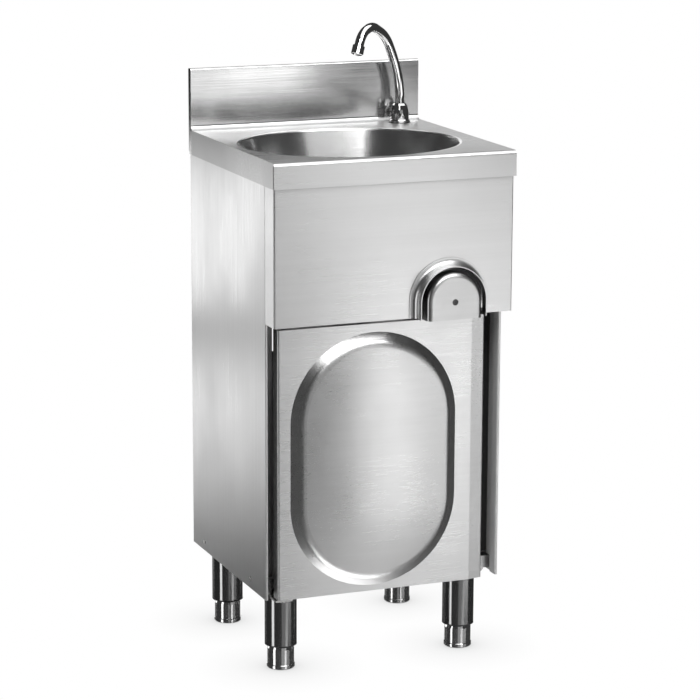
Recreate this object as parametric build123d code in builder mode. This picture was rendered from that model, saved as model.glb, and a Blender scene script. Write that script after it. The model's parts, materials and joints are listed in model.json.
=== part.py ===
"""Knee-operated hand-wash sink on a stainless-steel cabinet with four adjustable feet.

Frame: X to the user's right, Y from the user towards the wall, Z up from the floor, in millimetres.
The origin is on the floor, under the middle of the sink's overall box, with the feet wound fully in.
"""

from build123d import *
import math
import os

os.makedirs("parts", exist_ok=True)

# ---------------------------------------------------------------- driving dimensions
worktop_width = 400
worktop_depth = 400
worktop_height = 825
apron_height = 40
splash_height = 100
splash_depth = 12
knee_reach = 21  # how far the push plate stands out in front of the worktop
top_sheet = 1.5
panel_sheet = 1.2

bowl_width = 352
bowl_length = 310
bowl_depth = 150
bowl_lip = 4

fascia_setback = 6
fascia_bottom = 571
cabinet_setback = 45  # front edges of the side panels, behind the worktop's front edge
cabinet_bottom = 129
overhang = 1.5

door_setback = 40
door_left = -180
door_right = 170
door_bottom = 128
door_top = 560
door_thickness = 20
grip_width = 24
bulge_width = 278
bulge_height = 409
bulge_rise = 17
bulge_shoulder = 12  # how far the rim's inner edge stands out from the door

knee_x = 90
knee_z = 597
knee_radius = 46
knee_edge_radius = 8
collar_radius = 66
collar_rim_radius = 54
collar_rise = 22
collar_flare = 10
knee_travel = 12

leg_x = 154
leg_front = 98
leg_rear = 353
leg_radius = 25.75
leg_wall = 1.5
foot_radius = 22.5
foot_height = 38
foot_travel = 50

spout_x = 154
spout_setback = 358
spout_radius = 7.75
spout_aim = -145  # degrees from +X, the way the spout points over the bowl

hose_radius = 5.5
waste_radius = 20
waste_spigot = 60
fit = 0.05  # radial clearance of a running fit
gap = 0.3

# ---------------------------------------------------------------- places worked out from them
rear_y = (worktop_depth + knee_reach) / 2
front_y = rear_y - worktop_depth
splash_y = rear_y - splash_depth
half_width = worktop_width / 2
cabinet_x = half_width - overhang
inner_x = cabinet_x - panel_sheet
apron_z = worktop_height - apron_height

bowl_x = -8.5
bowl_y = front_y + 174
bowl_floor = worktop_height - bowl_depth
bowl_stretch = bowl_width / bowl_length

fascia_y = front_y + fascia_setback
cabinet_y = front_y + cabinet_setback
door_y = front_y + door_setback
knee_face_y = front_y - knee_reach
collar_rim_y = fascia_y - collar_rise
header_y = front_y + 60
pan_y = front_y + 72
jamb_y = front_y + 84
pan_z = cabinet_bottom + 5
header_z = 566
panel_top = worktop_height - 13
spout_y = front_y + spout_setback

legs = [(x, front_y + y) for x in (-leg_x, leg_x) for y in (leg_front, leg_rear)]


def save(part, label):
    """Labels a finished piece and writes its STEP file."""
    part.label = label
    export_step(part, f"parts/{label}.step")


def tangent_radii(route):
    """One bend radius per inner point: 0.45 of the shorter run over the tangent of half the turn."""
    points = [Vector(*p) for p in route]
    radii = []
    for before, here, after in zip(points, points[1:], points[2:]):
        run_in = here - before
        run_out = after - here
        half_turn = math.radians(run_in.get_angle(run_out)) / 2
        radii.append(0.45 * min(run_in.length, run_out.length) / math.tan(half_turn))
    return radii


def folded_sheet(plane, points, radii, side, thickness=panel_sheet):
    """Returns the section of a folded sheet, from the outside line of its bends."""
    with BuildSketch(plane) as section:
        with BuildLine():
            FilletPolyline(*points, radius=radii)
            offset(amount=thickness, side=side)
        make_face()
    return section.sketch


def arch(radius, foot_z):
    """Draws the push plate's outline, a half disc on straight sides, down to foot_z."""
    with Locations((knee_x, knee_z)):
        Circle(radius)
    with Locations((knee_x, (knee_z + foot_z) / 2)):
        Rectangle(2 * radius, knee_z - foot_z)
    with Locations((knee_x, foot_z)):
        Rectangle(2 * radius, 2 * knee_z, align=(Align.CENTER, Align.MAX), mode=Mode.SUBTRACT)


def ring(x, y, low, high, outer, inner):
    """Adds an upright ring or tube between two heights."""
    with BuildSketch(Plane.XY.offset(low)) as section:
        with Locations((x, y)):
            Circle(outer)
            Circle(inner, mode=Mode.SUBTRACT)
    extrude(section.sketch, amount=high - low)


# ================================================================ worktop and bowl
with BuildPart() as worktop:
    section = folded_sheet(
        Plane.YZ.offset(-half_width),
        [
            (front_y, apron_z),
            (front_y, worktop_height),
            (splash_y, worktop_height),
            (splash_y, worktop_height + splash_height),
            (rear_y, worktop_height + splash_height),
            (rear_y, apron_z + 5),
        ],
        [6, 8, 3, 3],
        Side.RIGHT,
        top_sheet,
    )
    extrude(section, amount=worktop_width)
    side_length = worktop_depth - 2 * top_sheet - 4
    for x in (-half_width + top_sheet / 2, half_width - top_sheet / 2):
        with Locations((x, front_y + worktop_depth / 2 + 1, apron_z + apron_height / 2 - 0.5)):
            Box(top_sheet, side_length, apron_height - 1)
        with Locations((x, splash_y + splash_depth / 2, worktop_height + splash_height / 2 - 2)):
            Box(top_sheet, splash_depth - 2, splash_height + 2)
    with BuildSketch(Plane.XY.offset(worktop_height - 10)):
        with Locations((bowl_x, bowl_y)):
            Ellipse((bowl_length / 2 + bowl_lip) * bowl_stretch, bowl_length / 2 + bowl_lip)
        with Locations((spout_x, spout_y)):
            Circle(11)
    extrude(amount=20, mode=Mode.SUBTRACT)
save(worktop.part, "worktop")

with BuildPart() as bowl:
    # pressed round, then stretched sideways into the oval
    axis_x = bowl_x / bowl_stretch
    radius = bowl_length / 2
    section = folded_sheet(
        Plane.XZ.offset(-bowl_y),
        [
            (axis_x + radius + bowl_lip, worktop_height),
            (axis_x + radius, worktop_height),
            (axis_x + radius - 37, bowl_floor + 9),
            (axis_x + 38, bowl_floor),
            (axis_x + 26, bowl_floor),
        ],
        [bowl_lip - 0.2, 95, 30],
        Side.LEFT,
    )
    revolve(section, axis=Axis((axis_x, bowl_y, 0), (0, 0, 1)))
    scale(by=(bowl_stretch, 1, 1))
save(bowl.part, "bowl")

# ================================================================ cabinet sheet metal
hem = 20
hem_gap = 4
with BuildPart() as side_panel:
    section = folded_sheet(
        Plane.XY.offset(cabinet_bottom),
        [
            (-cabinet_x + hem_gap, cabinet_y + hem),
            (-cabinet_x + hem_gap, cabinet_y),
            (-cabinet_x, cabinet_y),
            (-cabinet_x, rear_y - top_sheet - gap),
            (-cabinet_x + 15, rear_y - top_sheet - gap),
        ],
        [1.4, 1.4, 1.6],
        Side.RIGHT,
    )
    extrude(section, amount=panel_top - cabinet_bottom)
    rivet_places = [(front_y + 116, pan_z + 10), (front_y + 340, pan_z + 10)]
    with BuildSketch(Plane.YZ.offset(-half_width)):
        with Locations(*rivet_places):
            Circle(2.1)
    extrude(amount=8, mode=Mode.SUBTRACT)
save(side_panel.part, "side_panel_left")

with BuildPart() as side_panel_right:
    add(mirror(side_panel.part, about=Plane.YZ, mode=Mode.PRIVATE))
save(side_panel_right.part, "side_panel_right")

with BuildPart() as bottom_pan:
    pan_depth = rear_y - 6 - pan_y
    pan_flange = 20
    with Locations((0, pan_y + pan_depth / 2, pan_z + pan_flange / 2)):
        Box(2 * inner_x - 0.2, pan_depth, pan_flange)
    with Locations((0, pan_y + pan_depth / 2, pan_z + pan_flange / 2 + panel_sheet)):
        Box(2 * (inner_x - panel_sheet) - 0.2, pan_depth - 2 * panel_sheet, pan_flange, mode=Mode.SUBTRACT)
    with BuildSketch(Plane.YZ.offset(-half_width)):
        with Locations(*rivet_places):
            Circle(2.1)
    extrude(amount=worktop_width, mode=Mode.SUBTRACT)
    bolt_places = [(x + dx, y + dy) for x, y in legs for dx in (-28, 28) for dy in (-20, 20)]
    with BuildSketch(Plane.XY.offset(pan_z - 1)):
        with Locations(*bolt_places):
            Circle(2.6)
    extrude(amount=4, mode=Mode.SUBTRACT)
save(bottom_pan.part, "bottom_pan")

back_y = rear_y - top_sheet - gap - panel_sheet
service_low = 445
service_high = 640
rail_high = worktop_height - apron_height - 6
for name, low, high in (("back_panel", pan_z + 4, service_low), ("back_rail", service_high, rail_high)):
    with BuildPart() as back_sheet:
        with BuildSketch(Plane.XZ.offset(-back_y)):
            with Locations((0, (low + high) / 2)):
                Rectangle(2 * inner_x - 2, high - low)
            with Locations((90, 360)):
                RectangleRounded(96, 52, 6, mode=Mode.SUBTRACT)
        extrude(amount=panel_sheet)
    save(back_sheet.part, name)

header_height = 74
with BuildPart() as door_header:
    section = folded_sheet(
        Plane.YZ.offset(-inner_x + 3),
        [
            (header_y + 30, header_z),
            (header_y, header_z),
            (header_y, header_z + header_height),
            (header_y + 30, header_z + header_height),
        ],
        [3, 3],
        Side.RIGHT,
        2,
    )
    extrude(section, amount=2 * inner_x - 6)
    with BuildSketch(Plane.XZ.offset(-header_y + 1)):
        with Locations((knee_x, knee_z)):
            Circle(14.2)
    extrude(amount=-5, mode=Mode.SUBTRACT)
save(door_header.part, "door_header")

with BuildPart() as jambs:
    jamb_width = 25
    section = folded_sheet(
        Plane.XY.offset(pan_z + pan_flange + gap),
        [
            (-inner_x, jamb_y + 21),
            (-inner_x, jamb_y),
            (-inner_x + jamb_width, jamb_y),
            (-inner_x + jamb_width, jamb_y + 10),
        ],
        [2, 2],
        Side.LEFT,
    )
    extrude(section, amount=header_z - pan_z - pan_flange - 2 * gap)
    mirror(about=Plane.YZ)
save(jambs.part, "jamb_rails")

with BuildPart() as door_seal:
    seal_x = 163
    with BuildSketch(Plane.XY.offset(160)):
        with Locations((seal_x + 17, jamb_y - 1)):
            Rectangle(32, 2)
        with Locations((seal_x, front_y + 73.1)):
            RectangleRounded(12, 21.8, 4)
            RectangleRounded(8, 17.8, 2.5, mode=Mode.SUBTRACT)
    extrude(amount=398)
save(door_seal.part, "door_seal")

# ================================================================ fascia, collar and push plate
with BuildPart() as fascia:
    fascia_top = worktop_height - 25
    section = folded_sheet(
        Plane.XY.offset(fascia_bottom),
        [
            (-cabinet_x, cabinet_y - 0.5),
            (-cabinet_x, fascia_y),
            (cabinet_x, fascia_y),
            (cabinet_x, cabinet_y - 0.5),
        ],
        [2.5, 2.5],
        Side.LEFT,
    )
    extrude(section, amount=fascia_top - fascia_bottom)
    with Locations((0, fascia_y + panel_sheet + 7, fascia_bottom + panel_sheet / 2)):
        Box(2 * inner_x - 1, 15, panel_sheet)
    with BuildSketch(Plane.XZ.offset(-fascia_y + 1)):
        arch(collar_radius - 2, fascia_bottom - 5)
    extrude(amount=-20, mode=Mode.SUBTRACT)
save(fascia.part, "fascia")

with BuildPart() as collar:
    section = folded_sheet(
        Plane.XY.offset(knee_z),
        [
            (knee_x + collar_radius, fascia_y),
            (knee_x + collar_rim_radius, fascia_y),
            (knee_x + collar_rim_radius, collar_rim_y),
        ],
        [collar_flare],
        Side.LEFT,
    )
    knee_axis = Axis((knee_x, 0, knee_z), (0, -1, 0))
    revolve(section, axis=knee_axis, revolution_arc=180)
    extrude(section, amount=fascia_bottom - knee_z)
    extrude(mirror(section, about=Plane.YZ.offset(knee_x)), amount=fascia_bottom - knee_z)
save(collar.part, "knee_collar")

plate_wall = 1.5
plate_foot = fascia_bottom - 1.5
plate_back_y = fascia_y - 2
with BuildPart() as knee_plate:
    with BuildSketch(Plane.XZ.offset(-plate_back_y)):
        arch(knee_radius, plate_foot)
    extrude(amount=plate_back_y - knee_face_y)
    face_rim = knee_plate.faces().sort_by(Axis.Y)[0].edges()
    fillet(face_rim.filter_by(lambda edge: edge.center().Z > plate_foot + 1), knee_edge_radius)
    offset(amount=-plate_wall, openings=knee_plate.faces().sort_by(Axis.Y)[-1])
    with BuildSketch(Plane.XZ.offset(-knee_face_y - plate_wall)):
        with Locations((knee_x, knee_z)):
            Circle(9)
    extrude(amount=-6)
    with BuildSketch(Plane.XZ.offset(-knee_face_y)):
        with Locations((knee_x, knee_z)):
            Circle(5)
    extrude(amount=-3, mode=Mode.SUBTRACT)
    with BuildSketch(Plane.XZ.offset(-knee_face_y)):
        with Locations((knee_x, knee_z)):
            Circle(3.1)
    extrude(amount=-9, mode=Mode.SUBTRACT)
save(knee_plate.part, "knee_plate")

with BuildPart() as knee_screw:
    with BuildSketch(Plane.XZ.offset(-knee_face_y - 1)):
        with Locations((knee_x, knee_z)):
            Circle(4.7)
    extrude(amount=-2)
    with BuildSketch(Plane.XZ.offset(-knee_face_y - 1)):
        with Locations((knee_x, knee_z)):
            RegularPolygon(2.4, 6)
    extrude(amount=-1.2, mode=Mode.SUBTRACT)
    with BuildSketch(Plane.XZ.offset(-knee_face_y - 3)):
        with Locations((knee_x, knee_z)):
            Circle(3)
    extrude(amount=-14)
save(knee_screw.part, "knee_screw")

rod_start = knee_face_y + plate_wall + 6
nose_y = front_y + 44
with BuildPart() as push_rod:
    with BuildSketch(Plane.XZ.offset(-rod_start)):
        with Locations((knee_x, knee_z)):
            Circle(5)
    extrude(amount=-(front_y + 84 - rod_start))
    with BuildSketch(Plane.XZ.offset(-rod_start)):
        with Locations((knee_x, knee_z)):
            Circle(3.05)
    extrude(amount=-11, mode=Mode.SUBTRACT)
save(push_rod.part, "push_rod")

# ================================================================ self-closing knee valve
valve_y = header_y + 2
valve_depth = 58
port_y = valve_y + valve_depth
inlet_port_x = knee_x + 14
outlet_port_x = knee_x - 14
with BuildPart() as valve_body:
    with Locations((knee_x, valve_y + valve_depth / 2, knee_z)):
        Box(52, valve_depth, 40)
    fillet(valve_body.edges().filter_by(Axis.Y), 8)
    with BuildSketch(Plane.XZ.offset(-nose_y)):
        with Locations((knee_x, knee_z)):
            Circle(14)
    extrude(amount=-(valve_y - nose_y))
    with BuildSketch(Plane.XZ.offset(-port_y)):
        with Locations((inlet_port_x, knee_z), (outlet_port_x, knee_z)):
            Circle(8)
    extrude(amount=-16)
    with BuildSketch(Plane.XZ.offset(-nose_y)):
        with Locations((knee_x, knee_z)):
            Circle(5 + fit)
    extrude(amount=-(front_y + 100 - nose_y), mode=Mode.SUBTRACT)
save(valve_body.part, "valve_body")

with BuildPart() as valve_nut:
    with BuildSketch(Plane.XZ.offset(-header_y + 8)):
        with Locations((knee_x, knee_z)):
            RegularPolygon(20, 6)
            Circle(14, mode=Mode.SUBTRACT)
    extrude(amount=-8)
save(valve_nut.part, "valve_nut")

spring_start = rod_start + 1
spring_length = nose_y - 1 - spring_start
with BuildPart() as return_spring:
    coil_radius = 9
    wire_radius = 1
    with BuildLine() as coil:
        Helix(
            pitch=spring_length / 7,
            height=spring_length,
            radius=coil_radius,
            center=(knee_x, spring_start, knee_z),
            direction=(0, 1, 0),
        )
    with BuildSketch(Plane(origin=coil.line @ 0, z_dir=coil.line % 0)):
        Circle(wire_radius)
    sweep(is_frenet=True)
save(return_spring.part, "return_spring")

# ================================================================ door
bulge_x = -20
bulge_z = 342
bulge_radius = bulge_width / 2
straight = bulge_height - bulge_width
door_outline = [
    (door_left, door_y + door_thickness),
    (door_left, door_y),
    (door_right - grip_width, door_y),
    (door_right, door_y + 5),
    (door_right, door_y + door_thickness),
]
door_radii = [3, 6, 3]
hinge_x = -168
hinge_y = front_y + 52


def bulge_section(z):
    """Returns half the raised oval's section at a height, from its middle to its edge."""
    with BuildSketch(Plane.XY.offset(z)) as section:
        with BuildLine():
            top = Line((bulge_x, door_y - bulge_rise), (bulge_x + 10, door_y - bulge_rise))
            crown = TangentArc(top @ 1, (bulge_x + 116, door_y - bulge_shoulder), tangent=(1, 0))
            shoulder = TangentArc(crown @ 1, (bulge_x + 129, door_y - 6.5), tangent=crown % 1)
            Line(shoulder @ 1, (bulge_x + bulge_radius, door_y))
            offset(amount=panel_sheet, side=Side.LEFT)
        make_face()
    return section.sketch


with BuildPart() as door_skin:
    section = folded_sheet(Plane.XY.offset(door_bottom), door_outline, door_radii, Side.LEFT)
    extrude(section, amount=door_top - door_bottom)
    with BuildSketch(Plane.XY.offset(door_bottom), Plane.XY.offset(door_top - panel_sheet)):
        with BuildLine():
            FilletPolyline(*door_outline, radius=door_radii)
            Line(door_outline[-1], door_outline[0])
        make_face()
        with Locations((hinge_x, hinge_y)):
            Circle(5, mode=Mode.SUBTRACT)
    extrude(amount=panel_sheet)
    with BuildSketch(Plane.XZ.offset(-door_y + 1)):
        with Locations((bulge_x, bulge_z)):
            SlotOverall(bulge_height, bulge_width - 1, rotation=90)
    extrude(amount=-5, mode=Mode.SUBTRACT)
    half_section = bulge_section(bulge_z - straight / 2)
    extrude(half_section, amount=straight)
    extrude(mirror(half_section, about=Plane.YZ.offset(bulge_x), mode=Mode.PRIVATE), amount=straight)
    for end_z, turn in ((bulge_z + straight / 2, -1), (bulge_z - straight / 2, 1)):
        end_axis = Axis((bulge_x, 0, end_z), (0, turn, 0))
        revolve(bulge_section(end_z), axis=end_axis, revolution_arc=180)
save(door_skin.part, "door_skin")

with BuildPart() as door_liner:
    liner_y = door_y + door_thickness
    liner_z = (door_bottom + door_top) / 2
    with Locations(((door_left + door_right) / 2, liner_y + panel_sheet / 2, liner_z)):
        Box(door_right - door_left - 2, panel_sheet, door_top - door_bottom - 2)
    with Locations(((door_left + door_right) / 2, liner_y - 1, liner_z)):
        Box(270, 4.4, 350)
    with Locations(((door_left + door_right) / 2, liner_y + 0.2, liner_z)):
        Box(270 - 2 * panel_sheet, 4.4, 350 - 2 * panel_sheet, mode=Mode.SUBTRACT)
save(door_liner.part, "door_liner")

with BuildPart() as door_bushes:
    ring(hinge_x, hinge_y, door_bottom + panel_sheet, door_bottom + 20, 7, 4 + fit)
    ring(hinge_x, hinge_y, door_top - 20, door_top - panel_sheet, 7, 4 + fit)
save(door_bushes.part, "door_bushes")

with BuildPart() as hinge_brackets:
    tab_width = 28
    for low, web_y in ((124, pan_y - 3), (562, header_y - 3)):
        tab_depth = web_y + 3 - (hinge_y - 8)
        with Locations((hinge_x, hinge_y - 8 + tab_depth / 2, low + 1.5)):
            Box(tab_width, tab_depth, 3)
        with Locations((hinge_x, web_y + 1.5, low + 13)):
            Box(tab_width, 3, 26)
    with BuildSketch(Plane.XY.offset(100)):
        with Locations((hinge_x, hinge_y)):
            Circle(4)
    extrude(amount=500, mode=Mode.SUBTRACT)
save(hinge_brackets.part, "hinge_brackets")

with BuildPart() as hinge_pins:
    for start, direction in ((124, 1), (565, -1)):
        with BuildSketch(Plane.XY.offset(start)):
            with Locations((hinge_x, hinge_y)):
                Circle(4)
        extrude(amount=22 * direction)
        with BuildSketch(Plane.XY.offset(start)):
            with Locations((hinge_x, hinge_y)):
                Circle(5)
        extrude(amount=-2.5 * direction)
save(hinge_pins.part, "hinge_pins")

catch_x = 120
with BuildPart() as magnetic_catch:
    with Locations((catch_x, front_y + 72.7, header_z - 8)):
        Box(40, 20, 16)
    fillet(magnetic_catch.edges().filter_by(Axis.Y), 2)
save(magnetic_catch.part, "magnetic_catch")

with BuildPart() as strike_plate:
    with Locations((catch_x, liner_y + panel_sheet + 0.5, door_top - 12)):
        Box(36, 1, 16)
save(strike_plate.part, "strike_plate")

with BuildPart() as side_rivets:
    for sign in (-1, 1):
        with BuildSketch(Plane.YZ.offset(sign * cabinet_x)):
            with Locations(*rivet_places):
                Circle(4)
        extrude(amount=sign)
        with BuildSketch(Plane.YZ.offset(sign * cabinet_x)):
            with Locations(*rivet_places):
                Circle(2)
        extrude(amount=-sign * 4)
save(side_rivets.part, "side_rivets")

# ================================================================ legs and adjustable feet
leg_low = foot_height + gap
insert_flange = 2
with BuildPart() as leg_plates:
    with BuildSketch(Plane.XY.offset(pan_z - 3)):
        with Locations(*legs):
            Rectangle(64, 52)
        with Locations(*bolt_places):
            Circle(2.6, mode=Mode.SUBTRACT)
    extrude(amount=3)
save(leg_plates.part, "leg_plates")

with BuildPart() as leg_tubes:
    with BuildSketch(Plane.XY.offset(leg_low + insert_flange)):
        with Locations(*legs):
            Circle(leg_radius)
            Circle(leg_radius - leg_wall, mode=Mode.SUBTRACT)
    extrude(amount=pan_z - 3 - leg_low - insert_flange)
save(leg_tubes.part, "leg_tubes")

plate_low = pan_z - 3
pan_top = pan_z + panel_sheet
bolt_steps = ((plate_low - 3, plate_low, 4), (plate_low, pan_top, 2.5), (pan_top, pan_z + 4, 4))
with BuildPart() as leg_bolts:
    for low, high, radius in bolt_steps:
        with BuildSketch(Plane.XY.offset(low)):
            with Locations(*bolt_places):
                Circle(radius)
        extrude(amount=high - low)
save(leg_bolts.part, "leg_bolts")

stem_radius = 8
insert_top = 62
insert_steps = ((leg_low + insert_flange, leg_radius), (insert_top, leg_radius - leg_wall))
with BuildPart() as leg_inserts:
    for high, radius in insert_steps:
        with BuildSketch(Plane.XY.offset(leg_low)):
            with Locations(*legs):
                Circle(radius)
                Circle(stem_radius + fit, mode=Mode.SUBTRACT)
        extrude(amount=high - leg_low)
save(leg_inserts.part, "leg_inserts")

foot_names = ["foot_rear_left", "foot_front_left", "foot_rear_right", "foot_front_right"]
foot_places = sorted(legs, key=lambda place: (place[0], -place[1]))
for name, (x, y) in zip(foot_names, foot_places):
    with BuildPart() as foot:
        with BuildSketch(Plane.XZ.offset(-y)):
            with BuildLine():
                Polyline(
                    (x, 0),
                    (x + foot_radius - 1.5, 0),
                    (x + foot_radius, 1.5),
                    (x + foot_radius, 6),
                    (x + foot_radius - 1, 7),
                    (x + foot_radius - 1, foot_height - 6),
                    (x + foot_radius - 3.5, foot_height),
                    (x + stem_radius, foot_height),
                    (x + stem_radius, foot_height + foot_travel + 18),
                    (x, foot_height + foot_travel + 18),
                    close=True,
                )
            make_face()
        revolve(axis=Axis((x, y, 0), (0, 0, 1)))
    save(foot.part, name)

# ================================================================ waste fitting and bottle trap
with BuildPart() as strainer:
    section = folded_sheet(
        Plane.XZ.offset(-bowl_y),
        [
            (bowl_x + 32, bowl_floor + 1.4),
            (bowl_x + 24, bowl_floor + 1.4),
            (bowl_x + 20, bowl_floor - 3),
            (bowl_x, bowl_floor - 3),
        ],
        [2, 2],
        Side.LEFT,
    )
    revolve(section, axis=Axis((bowl_x, bowl_y, 0), (0, 0, 1)))
    with BuildSketch(Plane.XY.offset(bowl_floor - 6)):
        with Locations((bowl_x, bowl_y)):
            Circle(3.2)
            with PolarLocations(8.5, 6):
                Circle(2.3)
            with PolarLocations(15, 12):
                Circle(2.3)
    extrude(amount=8, mode=Mode.SUBTRACT)
save(strainer.part, "drain_strainer")

with BuildPart() as drain_screw:
    for low, high, radius in ((bowl_floor - 3, bowl_floor - 1, 5), (bowl_floor - 30, bowl_floor - 3, 3)):
        with BuildSketch(Plane.XY.offset(low)):
            with Locations((bowl_x, bowl_y)):
                Circle(radius)
        extrude(amount=high - low)
save(drain_screw.part, "drain_screw")

seal_low = bowl_floor - panel_sheet - 3
with BuildPart() as drain_seal:
    ring(bowl_x, bowl_y, seal_low, bowl_floor - panel_sheet, 36, 27.5)
save(drain_seal.part, "drain_seal")

tail_low = 638
with BuildPart() as drain_tail:
    ring(bowl_x, bowl_y, seal_low - 4, seal_low, 36, 22)
    ring(bowl_x, bowl_y, tail_low, seal_low - 4, 23.9, 21.5)
    with Locations((bowl_x, bowl_y, bowl_floor - 22)):
        Box(44, 6, 10)
    with BuildSketch(Plane.XY.offset(bowl_floor - 32)):
        with Locations((bowl_x, bowl_y)):
            Circle(3.05)
    extrude(amount=20, mode=Mode.SUBTRACT)
save(drain_tail.part, "drain_tail")

waste_z = 592
with BuildPart() as trap_inlet:
    ring(bowl_x, bowl_y, 528, tail_low - 3, waste_radius, waste_radius - 1.8)
    ring(bowl_x, bowl_y, tail_low - 3, tail_low, 23.5, waste_radius - 1.8)
save(trap_inlet.part, "trap_inlet")

trap_bottom = 558
with BuildPart() as trap_body:
    ring(bowl_x, bowl_y, trap_bottom, 616, 33, 30.5)
    ring(bowl_x, bowl_y, 613, 616, 33, waste_radius + fit)
    ring(bowl_x, bowl_y, 616, 624, 24, waste_radius + fit)
    with BuildSketch(Plane.XZ.offset(-bowl_y - 25)):
        with Locations((bowl_x, waste_z)):
            Circle(24)
    extrude(amount=-33)
    with BuildSketch(Plane.XZ.offset(-bowl_y - 20)):
        with Locations((bowl_x, waste_z)):
            Circle(waste_radius + fit)
    extrude(amount=-40, mode=Mode.SUBTRACT)
    with BuildSketch(Plane.XY.offset(trap_bottom)):
        with Locations((bowl_x, bowl_y)):
            Circle(30.5)
    extrude(amount=55, mode=Mode.SUBTRACT)
save(trap_body.part, "trap_body")

with BuildPart() as trap_cup:
    with BuildSketch(Plane.XZ.offset(-bowl_y)):
        with BuildLine():
            Polyline(
                (bowl_x, 498),
                (bowl_x + 24, 498),
                (bowl_x + 31, 505),
                (bowl_x + 31, 544),
                (bowl_x + 34, 546),
                (bowl_x + 34, trap_bottom),
                (bowl_x + 28, trap_bottom),
                (bowl_x + 28, 506),
                (bowl_x + 23, 501),
                (bowl_x, 501),
                close=True,
            )
        make_face()
    revolve(axis=Axis((bowl_x, bowl_y, 0), (0, 0, 1)))
save(trap_cup.part, "trap_cup")

with BuildPart() as trap_nuts:
    ring(bowl_x, bowl_y, tail_low - 6, tail_low - 3, 29, waste_radius + fit)
    ring(bowl_x, bowl_y, tail_low - 3, tail_low + 12, 29, 23.95)
    ring(bowl_x, bowl_y, 616, 624, 29, 24.05)
    ring(bowl_x, bowl_y, 624, 627, 29, waste_radius + fit)
    for low, high, inner in ((58, 46, 24.05), (61, 58, waste_radius + fit)):
        with BuildSketch(Plane.XZ.offset(-bowl_y - low)):
            with Locations((bowl_x, waste_z)):
                Circle(29)
                Circle(inner, mode=Mode.SUBTRACT)
        extrude(amount=low - high)
save(trap_nuts.part, "trap_nuts")

with BuildPart() as waste_pipe:
    pipe_end = rear_y - 2
    with BuildSketch(Plane.XZ.offset(-bowl_y - 32)):
        with Locations((bowl_x, waste_z)):
            Circle(waste_radius)
            Circle(waste_radius - 1.8, mode=Mode.SUBTRACT)
    extrude(amount=-(pipe_end - bowl_y - 32))
    # a bead stops the outgoing pipe's socket
    with BuildSketch(Plane.XZ.offset(-pipe_end + waste_spigot)):
        with Locations((bowl_x, waste_z)):
            Circle(waste_radius + 2)
            Circle(waste_radius - 1, mode=Mode.SUBTRACT)
    extrude(amount=3)
save(waste_pipe.part, "waste_pipe")

# ================================================================ water inlets, mixing valve and hoses
inlet_z = 360
inlets = {"cold": 60, "hot": 120}
plate_y = rear_y - 26
plate_foot_y = back_y - panel_sheet
union_start = plate_y - 34
with BuildPart() as inlet_plate:
    section = folded_sheet(
        Plane.XY.offset(inlet_z - 30),
        [
            (16, plate_foot_y),
            (28, plate_foot_y),
            (28, plate_y),
            (152, plate_y),
            (152, plate_foot_y),
            (164, plate_foot_y),
        ],
        [2, 2, 2, 2],
        Side.RIGHT,
        2,
    )
    extrude(section, amount=60)
    with BuildSketch(Plane.XZ.offset(-plate_y + 5)):
        with Locations(*[(x, inlet_z) for x in inlets.values()]):
            Circle(10.6)
    extrude(amount=-12, mode=Mode.SUBTRACT)
save(inlet_plate.part, "inlet_plate")

with BuildPart() as inlet_unions:
    for start, end, radius in ((0, 16, 7), (16, 27, 9), (27, 34, 10.4), (34, 37, 15), (37, 55, 10.478)):
        with BuildSketch(Plane.XZ.offset(-union_start - start)):
            with Locations(*[(x, inlet_z) for x in inlets.values()]):
                Circle(radius)
        extrude(amount=start - end)
    with BuildSketch(Plane.XZ.offset(-union_start - 55)):
        with Locations(*[(x, inlet_z) for x in inlets.values()]):
            Circle(6)
    extrude(amount=40, mode=Mode.SUBTRACT)
save(inlet_unions.part, "inlet_unions")

with BuildPart() as union_nuts:
    with BuildSketch(Plane.XZ.offset(-plate_y + 2)):
        with Locations(*[(x, inlet_z) for x in inlets.values()]):
            RegularPolygon(16, 6)
            Circle(10.45, mode=Mode.SUBTRACT)
    extrude(amount=6)
save(union_nuts.part, "union_nuts")

mixer_x = 165
mixer_z = 470
mixer_front = front_y + 220
mixer_rear = front_y + 300
cold_port_y = front_y + 240
hot_port_y = front_y + 280
mixed_port_y = front_y + 260
with BuildPart() as mixing_valve:
    with BuildSketch(Plane.XZ.offset(-mixer_front)):
        with Locations((mixer_x, mixer_z)):
            Circle(16)
    extrude(amount=mixer_front - mixer_rear)
    with BuildSketch(Plane.XY.offset(mixer_z - 30)):
        with Locations((mixer_x, cold_port_y), (mixer_x, hot_port_y)):
            Circle(7.5)
    extrude(amount=25)
    with BuildSketch(Plane.XY.offset(mixer_z + 5)):
        with Locations((mixer_x, mixed_port_y)):
            Circle(7.5)
    extrude(amount=25)
    lug_end = inner_x - 0.1
    with Locations(((mixer_x + lug_end) / 2, mixed_port_y, mixer_z)):
        Box(lug_end - mixer_x, 26, 20)
    with BuildSketch(Plane.XZ.offset(-mixer_front)):
        with Locations((mixer_x, mixer_z)):
            Circle(4 + fit)
    extrude(amount=-14, mode=Mode.SUBTRACT)
save(mixing_valve.part, "mixing_valve")

with BuildPart() as knob:
    knob_face = mixer_front - 26
    with BuildSketch(Plane.XZ.offset(-knob_face)):
        with Locations((mixer_x, mixer_z)):
            Circle(17)
            with PolarLocations(18.5, 8):
                Circle(3.2, mode=Mode.SUBTRACT)
    extrude(amount=-24)
    with BuildSketch(Plane.XZ.offset(-knob_face - 24)):
        with Locations((mixer_x, mixer_z)):
            Circle(4)
    extrude(amount=-14)
    chamfer(knob.faces().sort_by(Axis.Y)[0].edges(), 0.8)
save(knob.part, "temperature_knob")

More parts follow.
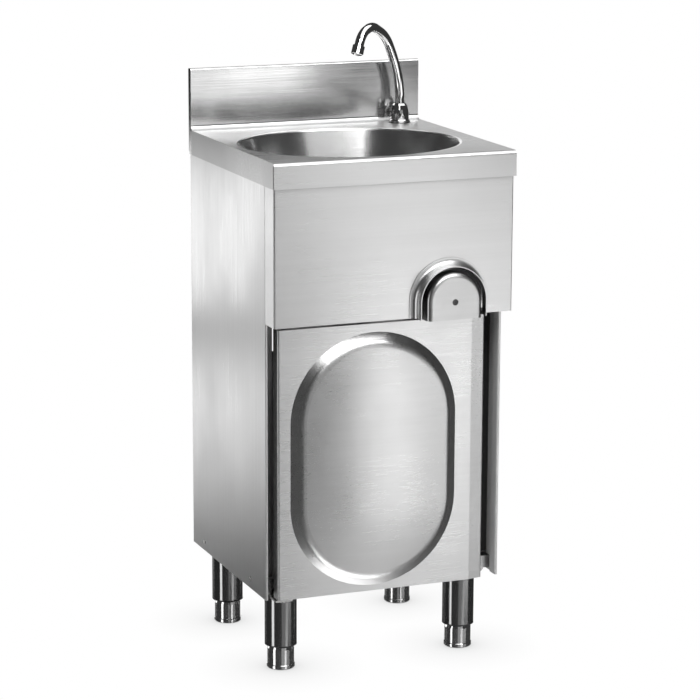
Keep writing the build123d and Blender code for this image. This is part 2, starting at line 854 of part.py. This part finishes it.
shank_low = 772
port_end = port_y + 16
hose_routes = {
    "cold_hose": [
        (60, union_start, inlet_z),
        (60, union_start - 44, inlet_z),
        (100, front_y + 262, inlet_z - 6),
        (mixer_x, cold_port_y, inlet_z + 14),
        (mixer_x, cold_port_y, mixer_z - 30),
    ],
    "hot_hose": [
        (120, union_start, inlet_z),
        (120, union_start - 34, inlet_z),
        (150, front_y + 284, inlet_z + 12),
        (mixer_x, hot_port_y, inlet_z + 48),
        (mixer_x, hot_port_y, mixer_z - 30),
    ],
    "mixed_hose": [
        (mixer_x, mixed_port_y, mixer_z + 30),
        (mixer_x, mixed_port_y, mixer_z + 90),
        (146, front_y + 216, knee_z - 3),
        (inlet_port_x, front_y + 184, knee_z),
        (inlet_port_x, port_end, knee_z),
    ],
    "spout_hose": [
        (outlet_port_x, port_end, knee_z),
        (outlet_port_x, front_y + 196, knee_z),
        (102, front_y + 250, knee_z + 8),
        (138, front_y + 308, knee_z + 42),
        (spout_x, spout_y, knee_z + 106),
        (spout_x, spout_y, shank_low),
    ],
}
for name, route in hose_routes.items():
    radii = tangent_radii(route)
    print(name, "bend radii", [round(r) for r in radii])
    with BuildPart() as hose:
        with BuildLine() as line:
            FilletPolyline(*route, radius=radii)
        with BuildSketch(Plane(origin=route[0], z_dir=line.line % 0)):
            Circle(hose_radius)
        sweep()
    length = sum(edge.length for edge in line.edges())
    print(name, "volume against section times length", hose.part.volume / (math.pi * hose_radius**2 * length))
    save(hose.part, name)

# ================================================================ swivel spout
with BuildPart() as spout_seal:
    ring(spout_x, spout_y, worktop_height, worktop_height + 1, 17.5, 8.5)
save(spout_seal.part, "spout_seal")

base_low = worktop_height + 1
base_high = worktop_height + 32
with BuildPart() as spout_base:
    with BuildSketch(Plane.XZ.offset(-spout_y)):
        with BuildLine():
            Polyline(
                (spout_x + 8 + fit, base_low),
                (spout_x + 17, base_low),
                (spout_x + 17, base_low + 3),
                (spout_x + 15.5, base_low + 5),
                (spout_x + 15.5, base_low + 15),
                (spout_x + 14.5, base_low + 21),
                (spout_x + 12.5, base_high - 3),
                (spout_x + 10, base_high),
                (spout_x + spout_radius + fit, base_high),
                (spout_x + spout_radius + fit, base_low + 8),
                (spout_x + 5, base_low + 8),
                (spout_x + 5, base_low + 6),
                (spout_x + 8 + fit, base_low + 6),
                close=True,
            )
        make_face()
    revolve(axis=Axis((spout_x, spout_y, 0), (0, 0, 1)))
    with BuildSketch(Plane.XZ.offset(-spout_y + 20)):
        with Locations((spout_x, base_low + 10)):
            Circle(2)
    extrude(amount=-8, mode=Mode.SUBTRACT)
save(spout_base.part, "spout_base")

with BuildPart() as grub_screw:
    with BuildSketch(Plane.XZ.offset(-spout_y + 15)):
        with Locations((spout_x, base_low + 10)):
            Circle(2)
            RegularPolygon(1, 6, mode=Mode.SUBTRACT)
    extrude(amount=-3)
save(grub_screw.part, "spout_grub_screw")

with BuildPart() as spout_shank:
    ring(spout_x, spout_y, shank_low, base_low + 6, 8, 5)
save(spout_shank.part, "spout_shank")

with BuildPart() as spout_nut:
    nut_high = worktop_height - top_sheet
    ring(spout_x, spout_y, nut_high - 2, nut_high, 17, 8.05)
    with BuildSketch(Plane.XY.offset(nut_high - 9)):
        with Locations((spout_x, spout_y)):
            RegularPolygon(14, 6)
            Circle(8.05, mode=Mode.SUBTRACT)
    extrude(amount=7)
save(spout_nut.part, "spout_nut")


def over_bowl(reach, height):
    """A point of the spout's middle line, from its reach and its height above the worktop."""
    aim = math.radians(spout_aim)
    return (spout_x + reach * math.cos(aim), spout_y + reach * math.sin(aim), worktop_height + height)


spout_route = [
    over_bowl(reach, height)
    for reach, height in ((0, 9.5), (0, 60), (17, 104), (45, 148), (86, 167), (116, 156), (129, 127))
]
with BuildPart() as spout_tube:
    with BuildLine() as spout_line:
        FilletPolyline(*spout_route, radius=tangent_radii(spout_route))
    with BuildSketch(Plane(origin=spout_route[0], z_dir=spout_line.line % 0)):
        Circle(spout_radius)
        Circle(spout_radius - 1.5, mode=Mode.SUBTRACT)
    sweep()
save(spout_tube.part, "spout_tube")

with BuildPart() as aerator:
    mouth = Plane(origin=spout_line.line @ 1, z_dir=spout_line.line % 1)
    with BuildSketch(mouth.offset(-11)):
        Circle(10)
        Circle(spout_radius + fit, mode=Mode.SUBTRACT)
    extrude(amount=11)
    with BuildSketch(mouth):
        Circle(10)
        Circle(8, mode=Mode.SUBTRACT)
    extrude(amount=3)
    with BuildSketch(mouth):
        Circle(8)
        with GridLocations(3, 3, 3, 3):
            Circle(1, mode=Mode.SUBTRACT)
    extrude(amount=2)
save(aerator.part, "aerator")
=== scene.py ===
"""Looks of the knee-operated hand-wash sink: materials, small detail, studio light and camera."""

import json
import math

import bmesh
import bpy
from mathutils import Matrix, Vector


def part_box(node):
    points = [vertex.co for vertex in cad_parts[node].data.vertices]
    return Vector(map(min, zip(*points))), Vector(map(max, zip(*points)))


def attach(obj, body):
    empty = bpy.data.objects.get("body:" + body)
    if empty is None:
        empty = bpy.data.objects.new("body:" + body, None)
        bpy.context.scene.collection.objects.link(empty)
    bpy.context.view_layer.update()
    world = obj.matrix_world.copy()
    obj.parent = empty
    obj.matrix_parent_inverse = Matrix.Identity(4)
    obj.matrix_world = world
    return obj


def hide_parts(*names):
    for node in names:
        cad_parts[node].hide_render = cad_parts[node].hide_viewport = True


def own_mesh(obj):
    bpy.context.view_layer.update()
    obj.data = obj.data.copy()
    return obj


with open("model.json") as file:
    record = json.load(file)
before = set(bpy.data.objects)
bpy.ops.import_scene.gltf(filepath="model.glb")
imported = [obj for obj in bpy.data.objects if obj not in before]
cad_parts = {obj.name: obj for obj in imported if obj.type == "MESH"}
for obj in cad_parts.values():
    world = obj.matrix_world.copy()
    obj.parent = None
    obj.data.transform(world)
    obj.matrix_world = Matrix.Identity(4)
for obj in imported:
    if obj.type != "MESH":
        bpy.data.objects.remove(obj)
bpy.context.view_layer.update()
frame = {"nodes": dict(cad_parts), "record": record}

UP = Vector((0, 0, 1))
BACK = Vector((0, 1, 0))


# ---------------------------------------------------------------- node graphs
class Graph:
    """A material's nodes, with short ways to add and join them."""

    def __init__(self, name):
        self.material = bpy.data.materials.new(name)
        self.material.use_nodes = True
        self.tree = self.material.node_tree
        self.shader = self.tree.nodes["Principled BSDF"]
        self.place = self.node("ShaderNodeTexCoord").outputs["Object"]

    def node(self, kind, inputs=None, **settings):
        made = self.tree.nodes.new(kind)
        for key, value in settings.items():
            setattr(made, key, value)
        for key, value in (inputs or {}).items():
            self.put(value, made.inputs[key])
        return made

    def put(self, value, socket):
        """Joins an output to a socket, or sets the socket to a constant."""
        if isinstance(value, bpy.types.NodeSocket):
            self.tree.links.new(value, socket)
        else:
            socket.default_value = value

    def set(self, **values):
        """Sets the shader's own sockets, named with _ for a space."""
        for key, value in values.items():
            self.put(value, self.shader.inputs[key.replace("_", " ")])

    def noise(self, scale, detail=3.0, roughness=0.55, shift=0.0):
        """Noise from 0 to 1 with its own scale, in cells per metre, along each axis."""
        mapping = self.node(
            "ShaderNodeMapping", {"Vector": self.place, "Scale": scale, "Location": (shift, shift, shift)}
        )
        inputs = {"Vector": mapping.outputs["Vector"], "Scale": 1.0, "Detail": detail, "Roughness": roughness}
        return self.node("ShaderNodeTexNoise", inputs).outputs["Fac"]

    def math(self, operation, a, b=0.0):
        made = self.node("ShaderNodeMath", operation=operation)
        self.put(a, made.inputs[0])
        self.put(b, made.inputs[1])
        return made.outputs["Value"]

    def remap(self, value, low, high, to_low, to_high, smooth=False):
        kind = "SMOOTHSTEP" if smooth else "LINEAR"
        made = self.node("ShaderNodeMapRange", interpolation_type=kind)
        for socket, number in zip(made.inputs, (value, low, high, to_low, to_high)):
            self.put(number, socket)
        return made.outputs["Result"]

    def mix(self, factor, a, b):
        """Colour a where factor is 0, b where it is 1."""
        made = self.node("ShaderNodeMix", data_type="RGBA")
        self.put(factor, made.inputs["Factor"])
        self.put(a, made.inputs[6])
        self.put(b, made.inputs[7])
        return made.outputs[2]

    def bump(self, height, distance, strength):
        inputs = {"Height": height, "Distance": distance, "Strength": strength}
        return self.node("ShaderNodeBump", inputs).outputs["Normal"]


def grey(value, tint=0.0):
    """A neutral colour, a little warmer with a positive tint."""
    return (value * (1 + tint), value, value * (1 - tint), 1.0)


# ---------------------------------------------------------------- materials
# the grain's directions, each a little off its axis so that no face's normal is parallel to it
GRAIN = {"X": (1.0, 0.04, 0.03), "Y": (0.04, 1.0, 0.03), "Z": (0.04, 0.03, 1.0)}
FINE_GRAIN = (9.0, 1100.0)  # noise cells per metre, along and across the grain
STREAKS = (1.6, 160.0)
PAINTED_SHADE_REACH = 0.022  # corners and gaps that are closed in within this distance get painted shade, their colour darkened
PAINTED_SHADE_TONE = 0.03
BUFFING = 0.14  # how much less rough a buffed sheet is
FACING_SIDEWAYS = 0.7  # the least X of a normal that points sideways


def brushed_steel(
    name, grain, tone, roughness, anisotropy=0.6, matt_inside=None, buffed_behind=None, painted_side_shade=1.0
):
    """Satin sheet: fine long grain along one axis, wiping marks, a little mottling and painted shade in
    corners and gaps.

    Highlights stretch across the grain. matt_inside is the half width of a cabinet whose inner faces
    are left matt, behind buffed_behind the sheet is buffed smoother, and painted_side_shade is the tone of
    its ends, painted darker as shade, over that of its face."""
    g = Graph(name)
    fine = g.noise([FINE_GRAIN[axis != grain] for axis in "XYZ"], detail=4)
    streak = g.noise([STREAKS[axis != grain] for axis in "XYZ"], detail=3, shift=3.7)
    smudge = g.noise((7.0, 7.0, 5.0), detail=4, shift=11.0)
    rough = g.remap(fine, 0.3, 0.7, roughness - 0.04, roughness + 0.04)
    rough = g.math("ADD", rough, g.remap(smudge, 0.35, 0.75, -0.02, 0.05))
    shade = g.math("ADD", g.remap(streak, 0.3, 0.7, 0.0, 0.5), g.remap(smudge, 0.3, 0.7, 0.0, 0.5))
    colour = g.mix(shade, grey(tone * 0.95), grey(tone * 1.03))
    # painted shade: the colour goes dark in corners and gaps, by ambient occlusion
    painted_shade_ao = g.node("ShaderNodeAmbientOcclusion", {"Distance": PAINTED_SHADE_REACH}, samples=6).outputs["AO"]
    colour = g.mix(g.remap(painted_shade_ao, 0.2, 0.75, 0.0, 1.0, smooth=True), grey(PAINTED_SHADE_TONE), colour)
    metallic = 1.0
    normal = g.node("ShaderNodeNewGeometry").outputs["Normal"]
    if matt_inside:
        side = g.node("ShaderNodeSeparateXYZ", {"Vector": g.place}).outputs["X"]
        facing = g.node("ShaderNodeSeparateXYZ", {"Vector": normal}).outputs["X"]
        inward = g.math("LESS_THAN", g.math("MULTIPLY", side, facing), -0.1)
        inner = g.math("LESS_THAN", g.math("ABSOLUTE", side), matt_inside)
        matt = g.math("MULTIPLY", inward, inner)
        metallic = g.remap(matt, 0.0, 1.0, 1.0, 0.1)
        colour = g.mix(matt, colour, grey(0.9))
        rough = g.math("ADD", rough, g.math("MULTIPLY", matt, 0.25))
    if buffed_behind:
        depth = g.node("ShaderNodeSeparateXYZ", {"Vector": g.place}).outputs["Y"]
        buffed = g.math("GREATER_THAN", depth, buffed_behind)
        rough = g.math("SUBTRACT", rough, g.math("MULTIPLY", buffed, BUFFING))
    # painted shade: faces that point sideways get a darker colour
    if painted_side_shade < 1:
        facing = g.node("ShaderNodeSeparateXYZ", {"Vector": normal}).outputs["X"]
        painted_shade_sides_mask = g.math("GREATER_THAN", g.math("ABSOLUTE", facing), FACING_SIDEWAYS)
        colour = g.mix(painted_shade_sides_mask, colour, grey(tone * painted_side_shade))
    g.set(Base_Color=colour, Metallic=metallic, Roughness=rough, Anisotropic=anisotropy)
    g.set(Normal=g.bump(g.math("ADD", fine, g.math("MULTIPLY", streak, 0.5)), 0.00002, 0.3))
    across_grain = g.node("ShaderNodeVectorMath", {0: normal, 1: GRAIN[grain]}, operation="CROSS_PRODUCT")
    g.set(Tangent=across_grain.outputs["Vector"])
    return g.material


def spun_steel(name, tone, roughness, anisotropy=0.7):
    """Polished pressing buffed round and round, so that highlights stretch up its wall."""
    g = Graph(name)
    swirls = g.noise((30.0, 30.0, 1400.0), detail=3)
    haze = g.noise((12.0, 12.0, 9.0), detail=4, shift=5.0)
    rough = g.math("ADD", g.remap(swirls, 0.3, 0.7, roughness - 0.02, roughness + 0.02),
                   g.remap(haze, 0.4, 0.75, 0.0, 0.05))
    g.set(Base_Color=g.mix(haze, grey(tone * 0.96), grey(tone)), Metallic=1.0, Roughness=rough)
    g.set(Anisotropic=anisotropy, Anisotropic_Rotation=0.25, Normal=g.bump(swirls, 0.000005, 0.3))
    g.set(Tangent=g.node("ShaderNodeTangent", direction_type="RADIAL", axis="Z").outputs["Tangent"])
    return g.material


def polished_metal(name, tone, roughness, tint=0.0, swirl=0.02):
    """Bright plated or buffed metal with faint buffing swirls and water haze."""
    g = Graph(name)
    swirls = g.noise((260.0, 260.0, 900.0), detail=4)
    haze = g.noise((14.0, 14.0, 10.0), detail=4, shift=5.0)
    rough = g.math("ADD", g.remap(swirls, 0.3, 0.7, roughness, roughness + swirl),
                   g.remap(haze, 0.45, 0.75, 0.0, 0.04))
    colour = g.mix(haze, grey(tone * 0.97, tint), grey(tone, tint))
    g.set(Base_Color=colour, Metallic=1.0, Roughness=rough, Normal=g.bump(swirls, 0.000005, 0.3))
    return g.material


def moulded_plastic(name, colour, roughness, grain=0.00002):
    """Moulded plastic with a fine spark-eroded texture."""
    g = Graph(name)
    pores = g.noise((1500.0, 1500.0, 1500.0), detail=2)
    cloud = g.noise((30.0, 30.0, 30.0), detail=3, shift=2.0)
    dark = tuple(c * 0.86 for c in colour[:3]) + (1.0,)
    rough = g.remap(cloud, 0.3, 0.7, roughness - 0.05, roughness + 0.08)
    g.set(Base_Color=g.mix(cloud, dark, colour), Roughness=rough)
    g.set(Normal=g.bump(pores, grain, 0.5))
    return g.material


def black_rubber(name):
    """Soft black rubber, slightly dusty."""
    g = Graph(name)
    dust = g.noise((60.0, 60.0, 60.0), detail=5)
    grain = g.noise((900.0, 900.0, 900.0), detail=2, shift=4.0)
    colour = g.mix(g.remap(dust, 0.5, 0.8, 0.0, 0.5), grey(0.012), grey(0.045, 0.03))
    g.set(Base_Color=colour, Roughness=g.remap(dust, 0.3, 0.7, 0.55, 0.8), Normal=g.bump(grain, 0.00003, 0.5))
    return g.material


# ---------------------------------------------------------------- light and camera
ROOM_GLOW = 0.045  # what the white backdrop gives the steel
SOFT_LIGHTS = {
    # place, aimed at, width, height, radiance
    "right_front_window": ((1.30, -1.75, 0.30), (0.0, -0.1, 0.30), 1.4, 0.40, 1.8),
    "splash_card": ((0.50, -1.75, 0.69), (0.0, 0.1, 0.85), 0.5, 0.2, 1.8),
    "low_card": ((0.68, -1.72, 0.10), (0.0, -0.1, 0.1), 0.36, 0.18, 1.6),
    "front_fill": ((0.15, -2.5, 0.8), (0.0, 0.0, 0.6), 1.8, 1.5, 0.26),
    "front_right_high": ((0.1, -1.45, 2.15), (0.0, 0.0, 0.8), 2.1, 0.95, 5.2),
    "left_strip": ((-1.75, -0.45, 0.5), (0.1, -0.15, 0.55), 0.5, 1.0, 2.2),
    "left_rear_window": ((-1.03, 2.36, 0.26), (-0.2, 0.0, 0.5), 1.8, 0.42, 1.8),
    "overhead": ((0.5, -0.3, 2.6), (0.0, 0.0, 0.8), 2.2, 1.8, 1.6),
    "rear_right_window": ((1.3, 2.3, 0.95), (0.0, 0.2, 0.5), 1.9, 1.5, 1.0),
}


def light_studio():
    """Hangs soft lights in a dim room whose backdrop is white to the camera."""
    world = bpy.data.worlds.new("studio")
    world.use_nodes = True
    bpy.context.scene.world = world
    tree = world.node_tree
    # the backdrop is white to the camera, and only glows a little on the steel
    seen = tree.nodes.new("ShaderNodeLightPath").outputs["Is Camera Ray"]
    level = tree.nodes.new("ShaderNodeMapRange")
    tree.links.new(seen, level.inputs["Value"])
    level.inputs["To Min"].default_value = ROOM_GLOW
    level.inputs["To Max"].default_value = 1.0
    background = tree.nodes["Background"]
    background.inputs["Color"].default_value = grey(1.0)
    tree.links.new(level.outputs["Result"], background.inputs["Strength"])
    for name, (place, aim, width, height, radiance) in SOFT_LIGHTS.items():
        data = bpy.data.lights.new(name, "AREA")
        data.shape = "RECTANGLE"
        data.size = width
        data.size_y = height
        data.energy = radiance * math.pi * width * height
        light = bpy.data.objects.new(name, data)
        light.location = place
        light.rotation_euler = (Vector(aim) - Vector(place)).to_track_quat("-Z", "Y").to_euler()
        light.visible_camera = False
        bpy.context.scene.collection.objects.link(light)


FLOOR_RADIUS = 30.0
FLOOR_DROP = 0.0005  # keeps the floor clear of the feet
PAINTED_SHADOW_REACH = 0.12  # how near the floor an object has to be for a painted shadow under it


def lay_floor():
    """Lays a floor that is white with a painted soft shadow to the camera, and a pale mirror to the steel."""
    bm = bmesh.new()
    bmesh.ops.create_circle(bm, cap_ends=True, segments=96, radius=FLOOR_RADIUS)
    mesh = bpy.data.meshes.new("floor")
    bm.to_mesh(mesh)
    bm.free()
    floor = bpy.data.objects.new("floor", mesh)
    floor.location.z = -FLOOR_DROP
    bpy.context.scene.collection.objects.link(floor)
    g = Graph("pale_floor")
    fleck = g.noise((40.0, 40.0, 40.0), detail=4)
    g.set(Base_Color=g.mix(fleck, grey(0.82), grey(0.88)), Roughness=0.22, Metallic=1.0)
    seen = g.node("ShaderNodeLightPath").outputs["Is Camera Ray"]
    # painted shadow: the floor's white glow goes darker near the feet, by ambient occlusion
    painted_shadow_ao = g.node("ShaderNodeAmbientOcclusion", {"Distance": PAINTED_SHADOW_REACH}, samples=8).outputs["AO"]
    white = g.node("ShaderNodeEmission", {"Color": g.mix(painted_shadow_ao, grey(0.45), grey(1.0))}).outputs["Emission"]
    surface = g.node("ShaderNodeMixShader")
    g.put(seen, surface.inputs[0])
    g.put(g.shader.outputs["BSDF"], surface.inputs[1])
    g.put(white, surface.inputs[2])
    g.put(surface.outputs["Shader"], g.tree.nodes["Material Output"].inputs["Surface"])
    floor.data.materials.append(g.material)


CAMERA_PLACE = (-1.624, -4.043, 1.451)
CAMERA_AZIMUTH = math.radians(20.82)
CAMERA_TILT = math.radians(12.50)
FOCAL_WIDTHS = 2774 / 700  # focal length over the picture's width
AXIS_SHIFT = 50.1 / 700  # how far left of the middle the lens's axis meets the picture
SENSOR = 36.0


def set_camera():
    """Looks at the sink from where the photo was taken."""
    data = bpy.data.cameras.new("camera")
    data.sensor_width = SENSOR
    data.lens = SENSOR * FOCAL_WIDTHS
    data.shift_x = AXIS_SHIFT
    data.clip_end = 100
    camera = bpy.data.objects.new("camera", data)
    camera.location = CAMERA_PLACE
    camera.rotation_euler = (math.pi / 2 - CAMERA_TILT, 0, -CAMERA_AZIMUTH)
    bpy.context.scene.collection.objects.link(camera)
    bpy.context.scene.camera = camera
    bpy.context.scene.view_settings.view_transform = "Standard"


# ---------------------------------------------------------------- small pieces
def sweep_tube(name, points, radius, sides=10):
    """Adds a round wire along points to the scene."""
    curve = bpy.data.curves.new(name, "CURVE")
    curve.dimensions = "3D"
    spline = curve.splines.new("POLY")
    spline.points.add(len(points) - 1)
    for target, point in zip(spline.points, points):
        target.co = (*point, 1.0)
    curve.bevel_depth = radius
    curve.bevel_resolution = sides // 2 - 1
    curve.use_fill_caps = True
    path = bpy.data.objects.new(name + "_path", curve)
    mesh = bpy.data.meshes.new_from_object(path)
    bpy.data.objects.remove(path)
    mesh.name = name
    mesh.shade_smooth()
    piece = bpy.data.objects.new(name, mesh)
    bpy.context.scene.collection.objects.link(piece)
    return piece


def helix_points(start, normal, radius, pitch, length, steps=24):
    """Points of a coil that begins round start and runs along normal."""
    across = normal.orthogonal().normalized()
    along = normal.cross(across)
    points = []
    for index in range(int(length / pitch * steps) + 1):
        turn = 2 * math.pi * index / steps
        centre = start + normal * pitch * index / steps
        points.append(centre + radius * (math.cos(turn) * across + math.sin(turn) * along))
    return points


def wind_thread(name, start, normal, radius, pitch, length, wire, body, slot, material):
    """Adds the crest of a screw thread round a CAD stem."""
    points = helix_points(Vector(start), normal, radius, pitch, length)
    crest = sweep_tube(name, points, wire, sides=6)
    crest.data.materials.append(material)
    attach(crest, body)


def coil_return_spring(material):
    """Winds the valve's return spring, which squashes against the valve as the plate is pushed in."""
    low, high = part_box("return_spring")
    middle = (low + high) / 2
    wire = 0.001
    radius = (high.x - low.x) / 2 - wire
    length = high.y - low.y - 2 * wire
    turns = 7.5
    steps = 24
    crowding = 0.35  # the pitch is this much less at the ends, and more in the middle, than on average
    points = []
    for i in range(int(turns * steps) + 1):
        part = i / (turns * steps)
        rise = part - crowding * math.sin(2 * math.pi * part) / (2 * math.pi)
        angle = 2 * math.pi * turns * part
        x = middle.x + radius * math.cos(angle)
        y = low.y + wire + length * rise
        z = middle.z + radius * math.sin(angle)
        points.append(Vector((x, y, z)))
    spring = sweep_tube("return_spring_coil", points, wire)
    spring.data.materials.append(material)
    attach(spring, "cabinet")
    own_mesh(spring)
    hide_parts("return_spring")


INLET_X = {"cold": 0.060, "hot": 0.120}
INLET_Z = 0.360
INLET_THREAD_START = 0.0175  # in from the outer end of the unions
INLET_THREAD = {"radius": 0.0101, "pitch": 0.0018, "length": 0.0165, "wire": 0.00045}
STEM_THREAD_START = 0.0505  # down from the top of the stems
STEM_THREAD = {"radius": 0.0078, "pitch": 0.002, "length": 0.049, "wire": 0.00022}


def thread_the_inlets(material):
    """Pipe threads on the two unions that the supply pipes screw on to."""
    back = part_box("inlet_unions")[1].y
    for name, x in INLET_X.items():
        start = (x, back - INLET_THREAD_START, INLET_Z)
        thread = f"{name}_inlet_thread"
        wind_thread(thread, start, BACK, **INLET_THREAD, body="cabinet", slot="brass", material=material)


def thread_the_feet(material):
    """Screw threads on the stems that wind into the legs."""
    for corner in ("front_left", "front_right", "rear_left", "rear_right"):
        low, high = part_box(f"foot_{corner}")
        start = ((low.x + high.x) / 2, (low.y + high.y) / 2, high.z - STEM_THREAD_START)
        body = "foot_" + "".join(word[0] for word in corner.split("_"))
        thread = f"foot_{corner}_thread"
        wind_thread(thread, start, UP, **STEM_THREAD, body=body, slot="chrome", material=material)


# ---------------------------------------------------------------- dress the CAD nodes
STEEL_TONE = 0.62
INSIDE_OUTER_FACE = 0.0005  # anything further in than this from the side's outer face is inside
SPLASH_DEPTH = 0.0125


def dress():
    """Gives every CAD node its material, and adds the spring and the threads."""
    inner_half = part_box("side_panel_right")[1].x - INSIDE_OUTER_FACE
    splash_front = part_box("worktop")[1].y - SPLASH_DEPTH
    panel_x = brushed_steel("satin_steel_level", "X", STEEL_TONE, 0.30)
    panel_z = brushed_steel("satin_steel_upright", "Z", STEEL_TONE, 0.32, matt_inside=inner_half)
    panel_y = brushed_steel("satin_steel_deep", "Y", STEEL_TONE, 0.32)
    polished = spun_steel("polished_bowl", 0.74, 0.20)
    chrome = polished_metal("bright_chrome", 0.80, 0.03)
    plated = polished_metal("zinc_plate", 0.55, 0.22, 0.01, 0.08)
    brass = polished_metal("machined_brass", 0.55, 0.2, 0.25, 0.08)
    rubber = black_rubber("black_rubber")
    white = moulded_plastic("white_plastic", grey(0.72), 0.35)
    black = moulded_plastic("black_plastic", grey(0.03), 0.4)
    hose = polished_metal("steel_braid", 0.45, 0.35, 0.0, 0.1)
    # nodes whose finish isn't just their slot's
    own = {
        "fascia": panel_x,
        "knee_collar": panel_x,
        "door_header": panel_x,
        "door_skin": panel_x,
        "bottom_pan": panel_y,
        # the worktop's ends get painted shade, a darker colour
        "worktop": brushed_steel(
            "worktop_steel", "X", STEEL_TONE, 0.30, buffed_behind=splash_front, painted_side_shade=0.66
        ),
        "leg_tubes": polished_metal("leg_chrome", 0.40, 0.06),
        "knee_plate": brushed_steel("push_plate_steel", "X", 0.52, 0.30),
        "knee_screw": polished_metal("dark_screw", 0.10, 0.35, 0.0, 0.1),
    }
    by_slot = {
        "satin_steel": panel_z,
        "polished_steel": polished,
        "chrome": chrome,
        "rubber": rubber,
        "white_plastic": white,
        "brass": brass,
        "braided_hose": hose,
        "black_plastic": black,
        "bright_steel": plated,
    }
    slots = {part["node"]: part["material_slot"] for part in frame["record"]["subparts"]}
    for node, obj in frame["nodes"].items():
        obj.data.materials.clear()
        obj.data.materials.append(own.get(node, by_slot[slots[node]]))
    coil_return_spring(plated)
    thread_the_inlets(brass)
    thread_the_feet(chrome)


set_camera()
light_studio()
lay_floor()
dress()
